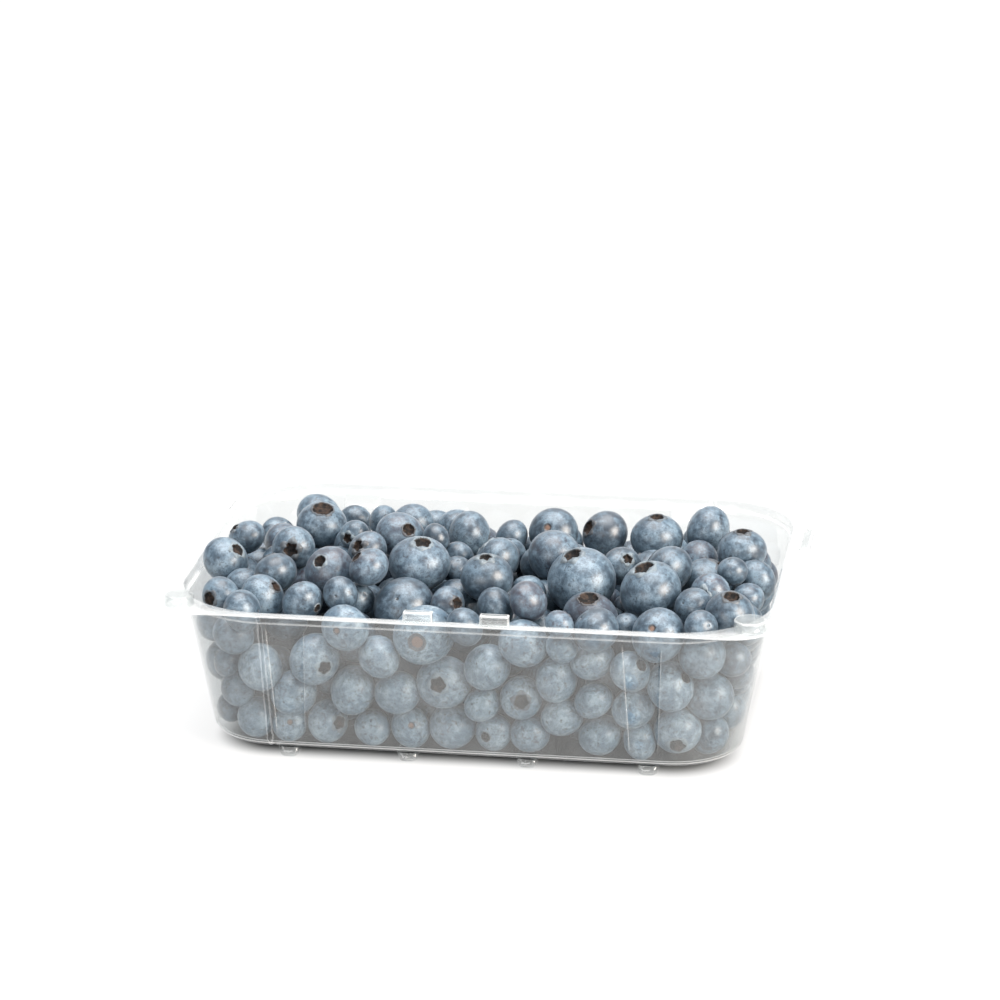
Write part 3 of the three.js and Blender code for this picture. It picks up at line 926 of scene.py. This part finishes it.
def turned_to(direction, dice):
    """A rotation that points the crown along a direction, with a random spin."""
    spin = Vector((0, 0, 1)).rotation_difference(direction).to_matrix()
    angle = dice.uniform(0, 2 * math.pi)
    c, s = math.cos(angle), math.sin(angle)
    return np.array(spin) @ np.array(((c, -s, 0), (s, c, 0), (0, 0, 1)))


def crown_direction(crown, held, dice):
    """Where the crown points: as listed, away from the viewer's side, or any way."""
    if crown is not None:
        right, up = crown[:2]
        depth = math.sqrt(max(0.02, 1 - right * right - up * up))
        way = (FACING_RIGHT * right + FACING_UP * up + FACING * depth).normalized()
        return way if len(crown) == 2 else -way
    while True:
        way = Vector(dice.normal(size=3)).normalized()
        if not held or way.dot(FACING) < 0.15:
            return way


def berry_piece(name, chosen, finish, seed):
    """All the chosen berries as one mesh."""
    dice = np.random.default_rng(seed)
    quads = berry_faces()
    vertices, faces, crowns, scars, tones = [], [], [], [], []
    start = 0
    for k in chosen:
        crown = berry_crowns[k]
        scar_size = crown[2] if crown and len(crown) == 3 else 0.0
        points, crown_values, scar_values = berry_shape(dice, scar_size)
        way = crown_direction(crown, berry_held[k], dice)
        turned = points @ turned_to(way, dice).T
        vertices.append(turned * berry_radii[k] + berry_places[k])
        faces += [tuple(start + v for v in face) for face in quads]
        crowns.append(crown_values)
        scars.append(scar_values)
        tone = np.clip(dice.normal(USUAL_TONE, TONE_SPREAD), 0, 1)
        _, y, z = berry_places[k]
        # Painted light: the berries against the front wall get paler, dustier skin, so they look more
        # brightly lit than the heap.
        if y < 10 - inside_wall(np.array(z))[1] and z < RIM - 6:
            tone[0] += WALL_PAINTED_LIGHT
        tones.append(np.repeat(tone[None, :], len(points), axis=0))
        start += len(points)
    piece = new_piece(name, np.vstack(vertices), faces, {
        "crown": np.concatenate(crowns),
        "scar": np.concatenate(scars),
        "tone": np.vstack(tones),
    })
    piece.data.materials.append(finish)
    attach(piece, "root")
    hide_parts("berry_heap")


SKIN_DARK = (0.011, 0.017, 0.027)
SKIN_PURPLE = (0.034, 0.024, 0.032)
BLOOM_BLUE = (0.086, 0.140, 0.194)
BLOOM_PALE = (0.240, 0.310, 0.362)
CROWN_DARK = (0.006, 0.005, 0.005)
CROWN_BROWN = (0.042, 0.027, 0.020)
SEPAL_GREY = (0.200, 0.235, 0.255)
SEPAL_BROWN = (0.050, 0.042, 0.038)
SCAR_RIM = (0.035, 0.025, 0.022)
SCAR_TAN = (0.165, 0.094, 0.064)

skin = Finish("dusty_berry_skin")
# Dark skin, blue bloom over it, paler dust on that, then rubbed places, spots and specks.
tones = skin.attribute("tone", out=1)
tone_dust_and_painted_light = skin.node("ShaderNodeSeparateXYZ", {}, tones)
tone_hue = skin.node("ShaderNodeSeparateXYZ", {}, tones, out=1)
tone_rub = skin.node("ShaderNodeSeparateXYZ", {}, tones, out=2)
patches = skin.noise(170.0, 4.0, 0.6)
smears = skin.noise(520.0, 5.0, 0.65)
specks = skin.noise(2100.0, 2.0, 0.5)
dust = (patches * 0.55 + smears * 0.45 + (tone_dust_and_painted_light - 0.5) * 0.14).ramp(0.34, 0.62)
under = skin.blend(tone_hue.ramp(0.6, 1.0), SKIN_DARK, SKIN_PURPLE)
rich = skin.blend(0.22 + 0.74 * dust, under, BLOOM_BLUE)
# On the berries against the front wall, the extra dust here is painted light that makes them paler.
pale_dust_and_painted_light = (smears * 0.6 + patches * 0.4).ramp(0.42, 0.68) * (0.20 + 0.50 * tone_dust_and_painted_light)
dusty = skin.blend(pale_dust_and_painted_light, rich, BLOOM_PALE)
rubbed_share = skin.noise(330.0, 4.0, 0.75).ramp(0.54, 0.70) * (0.16 + 0.70 * tone_rub)
rubbed = skin.blend(rubbed_share, dusty, under)
spots = skin.noise(760.0, 2.0, 0.4).ramp(0.60, 0.70) * 0.55
speckled = skin.blend(specks.ramp(0.55, 0.68) * 0.50 + spots, rubbed, under)
# The crown and the stem scar.
crown_value = skin.attribute("crown")
sepal_share = crown_value.ramp(0.1, 0.36) * (0.35 + 0.5 * smears)
sepal_colour = skin.blend(tone_rub.ramp(0.35, 0.65), SEPAL_GREY, SEPAL_BROWN)
sepalled = skin.blend(sepal_share, speckled, sepal_colour)
cup_colour = skin.blend(smears.ramp(0.42, 0.62), CROWN_DARK, CROWN_BROWN)
crowned = skin.blend(crown_value.ramp(0.55, 0.85) * 0.92, sepalled, cup_colour)
scar_value = skin.attribute("scar")
scarred = skin.blend(scar_value.ramp(0.1, 0.45) * 0.85, crowned, SCAR_RIM)
coloured = skin.blend(scar_value.ramp(0.55, 0.8) * (0.6 + 0.5 * smears), scarred, SCAR_TAN)
grain = skin.node("ShaderNodeBump", {}, Strength=0.35, Distance=0.00025, Height=smears + specks * 0.35)
waxy = skin.node(
    "ShaderNodeBsdfPrincipled", {},
    Base_Color=coloured,
    Roughness=0.36 + 0.14 * dust + 0.3 * crown_value,
    Coat_Weight=0.62 * (1.0 - crown_value) * (0.7 + 0.5 * smears),
    Coat_Roughness=0.34,
    Sheen_Weight=0.10,
    Sheen_Roughness=0.35,
    Sheen_Tint=(0.85, 0.92, 1.0, 1),
    Normal=grain,
)
dull = skin.node(
    "ShaderNodeBsdfPrincipled", {},
    Base_Color=cup_colour,
    Roughness=0.9,
    Specular_IOR_Level=0.0,
    Normal=grain,
)
dull_share = crown_value.ramp(0.5, 0.8) * 0.62
berry_skin = skin.surface(skin.node("ShaderNodeMixShader", {}, dull_share, waxy, dull))

# Only the berries near the outside are made, in five pieces.
berry_x, berry_y, berry_z = berry_places.T
space_half_x, space_half_y, _ = inside_wall(berry_z)
depth_in = np.minimum.reduce((
    space_half_x - np.abs(berry_x),
    space_half_y - np.abs(berry_y),
    berry_z - FLOOR_TOP,
    mound_level(berry_x, berry_y) - berry_z - BERRY / 2,
))
shown = depth_in < CORE_DEPTH + 3
on_top = berry_z > TOP_ZONE
at_bottom = berry_z < BOTTOM_ZONE
at_front = berry_y < FRONT_ZONE
zones = (
    ("berries_on_top_front", on_top & at_front),
    ("berries_on_top_back", on_top & ~at_front),
    ("berries_along_front", ~on_top & ~at_bottom & at_front),
    ("berries_along_back", ~on_top & ~at_bottom & ~at_front),
    ("berries_at_bottom", at_bottom),
)
for seed, (zone_name, zone) in enumerate(zones, 11):
    berry_piece(zone_name, np.flatnonzero(shown & zone), berry_skin, seed)


# ---- Core of the heap ----
# The shade between the berries in the middle of the heap, where no light comes: a dark body that
# keeps about a berry's depth away from the wall, the floor and the top.

CORE_LEVELS = 8
CORE_FOOT = FLOOR_TOP + CORE_DEPTH - 6
CORE_HEIGHT = RIM - 16 - CORE_DEPTH - FLOOR_TOP
CORE_RADIUS = 18
CORE_SHADE = (0.030, 0.040, 0.060)


def core_mesh():
    """A body that is drawn in at its foot and at its wavy top."""
    rings = []
    for share in np.linspace(0, 1, CORE_LEVELS):
        inset = CORE_DEPTH + 6 * (abs(share - 0.5) * 2) ** 4
        z = CORE_FOOT + CORE_HEIGHT * share
        half_x, half_y, _ = inside_wall(np.array(z))
        line = round_box_line(float(half_x) - inset, float(half_y) - inset, CORE_RADIUS, 10)
        waves = 2.2 * np.sin(line[:, 0] * 0.31) * np.cos(line[:, 1] * 0.27)
        rings.append((line, z + waves * share, np.zeros(len(line))))
    return stitched(rings)


core_vertices, core_faces, _ = core_mesh()
core = new_piece("heap_core", core_vertices, core_faces, {})
shade = Finish("shade_between_berries")
shade_colour = shade.blend(shade.noise(160.0).ramp(0.4, 0.7), SKIN_DARK, CORE_SHADE)
core.data.materials.append(shade.surface(shade.node(
    "ShaderNodeBsdfPrincipled", {}, Base_Color=shade_colour, Roughness=0.8,
)))
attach(core, "root")
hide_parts("berry_heap")


# ---- Table, light and camera ----
# A white table that glows a little, with a painted shadow where its glow fades under the punnet,
# under a big soft light overhead. A warm soft light stands at the front right, a weak one fills the
# front, and a broad one behind shows in the clear flange.

TABLE_HALF = 6.0
TABLE_DROP = 0.0002
TABLE_DULL = (0.150, 0.150, 0.150)
TABLE_BRIGHT = (0.160, 0.160, 0.160)
TABLE_GLOW = 0.76
GLOW_FROM, GLOW_TO = -0.0095, 0.0015  # edge of the painted shadow, from the edge of the punnet's base, outwards
BASE_HALF = (OPENING_HALF_LENGTH - FLOOR_INSET) * MM, (OPENING_HALF_WIDTH - FLOOR_INSET) * MM
BASE_RADIUS = FLOOR_RADIUS * MM

table = bpy.data.meshes.new("table")
table_corners = []
for x, y in ((-1, -1), (1, -1), (1, 1), (-1, 1)):
    table_corners.append((x * TABLE_HALF, y * TABLE_HALF, -TABLE_DROP))
table.from_pydata(table_corners, [], [(0, 1, 2, 3)])
table_top = bpy.data.objects.new("table", table)
bpy.context.scene.collection.objects.link(table_top)

paper = Finish("white_table")
paper_tone = paper.blend(paper.noise(3.0, 2.0), TABLE_DULL, TABLE_BRIGHT)
# Painted shadow: the glow of the lit table fades away where the punnet stands on it, under and just
# round its base.
spot = paper.place()
beyond = []
for axis in range(2):
    along = paper.node("ShaderNodeSeparateXYZ", {}, spot, out=axis) - OPENING_MIDDLE[axis] * MM
    distance = paper.node("ShaderNodeMath", {"operation": "ABSOLUTE"}, along)
    past = distance - (BASE_HALF[axis] - BASE_RADIUS)
    beyond.append(paper.node("ShaderNodeMath", {"operation": "MAXIMUM"}, past, 0.0))
from_base = (beyond[0] * beyond[0] + beyond[1] * beyond[1]) ** 0.5 - BASE_RADIUS
outside_painted_shadow = from_base.ramp(GLOW_FROM, GLOW_TO)
table.materials.append(paper.surface(paper.node(
    "ShaderNodeBsdfPrincipled", {},
    Base_Color=paper_tone,
    Roughness=0.9,
    Emission_Color=paper.blend(outside_painted_shadow, (0.0, 0.0, 0.0), (1.0, 1.0, 1.0)),
    Emission_Strength=TABLE_GLOW,
)))


def outward(azimuth, elevation):
    """The direction that lies so many degrees round from the front, and so many up."""
    a, e = math.radians(azimuth), math.radians(elevation)
    return Vector((math.sin(a) * math.cos(e), -math.cos(a) * math.cos(e), math.sin(e)))


def soft_light(name, azimuth, elevation, distance, size, power, colour=(1.0, 1.0, 1.0)):
    """A square soft light that looks at the middle of the punnet."""
    way = outward(azimuth, elevation)
    data = bpy.data.lights.new(name, "AREA")
    data.shape = "SQUARE"
    data.size = size
    data.energy = power
    data.color = colour
    light = bpy.data.objects.new(name, data)
    light.location = way * distance + Vector((0, 0, 0.03))
    light.rotation_mode = "QUATERNION"
    light.rotation_quaternion = way.to_track_quat("Z", "Y")
    bpy.context.scene.collection.objects.link(light)


# Name, where it stands (degrees round, degrees up, metres away), size and power.
soft_light("overhead_softbox", -150, 86, 2.2, 2.2, 92.0)
soft_light("front_right_softbox", 60, 26, 1.3, 0.70, 31.0, (1.0, 0.93, 0.85))
soft_light("front_fill_softbox", -20, 8, 1.7, 1.2, 17.0)
soft_light("back_wall_softbox", 189, 22, 2.4, 3.2, 18.0)

world = bpy.data.worlds.new("studio")
bpy.context.scene.world = world
world.use_nodes = True
surroundings = world.node_tree.nodes["Background"]
surroundings.inputs["Color"].default_value = (0.98, 0.99, 1.0, 1)
surroundings.inputs["Strength"].default_value = 0.36

CAMERA_AZIMUTH = 9.07
CAMERA_ELEVATION = 19.98
CAMERA_ROLL = -0.31
CAMERA_DISTANCE = 1270.0
CAMERA_LENS = 145.9
AIM_HEIGHT = 25.0
AIM_UP = 39.5
AIM_RIGHT = 1.9

camera_data = bpy.data.cameras.new("camera")
camera_data.lens = CAMERA_LENS
camera_data.sensor_width = 36
camera_data.clip_start = 0.05
camera_data.clip_end = 30
camera = bpy.data.objects.new("camera", camera_data)
back = outward(CAMERA_AZIMUTH, CAMERA_ELEVATION)
right = outward(CAMERA_AZIMUTH + 90, 0)
up = back.cross(right)
middle = (Vector(OPENING_MIDDLE) + Vector((0, 0, AIM_HEIGHT))) * MM
camera.location = middle + back * CAMERA_DISTANCE * MM
aim = middle + (up * AIM_UP + right * AIM_RIGHT) * MM
look = (camera.location - aim).to_track_quat("Z", "Y")
roll = Quaternion((0, 0, 1), math.radians(CAMERA_ROLL))
camera.rotation_euler = (look @ roll).to_euler()
bpy.context.scene.collection.objects.link(camera)
bpy.context.scene.camera = camera

scene = bpy.context.scene
scene.view_settings.view_transform = "Standard"
scene.cycles.transparent_max_bounces = 24
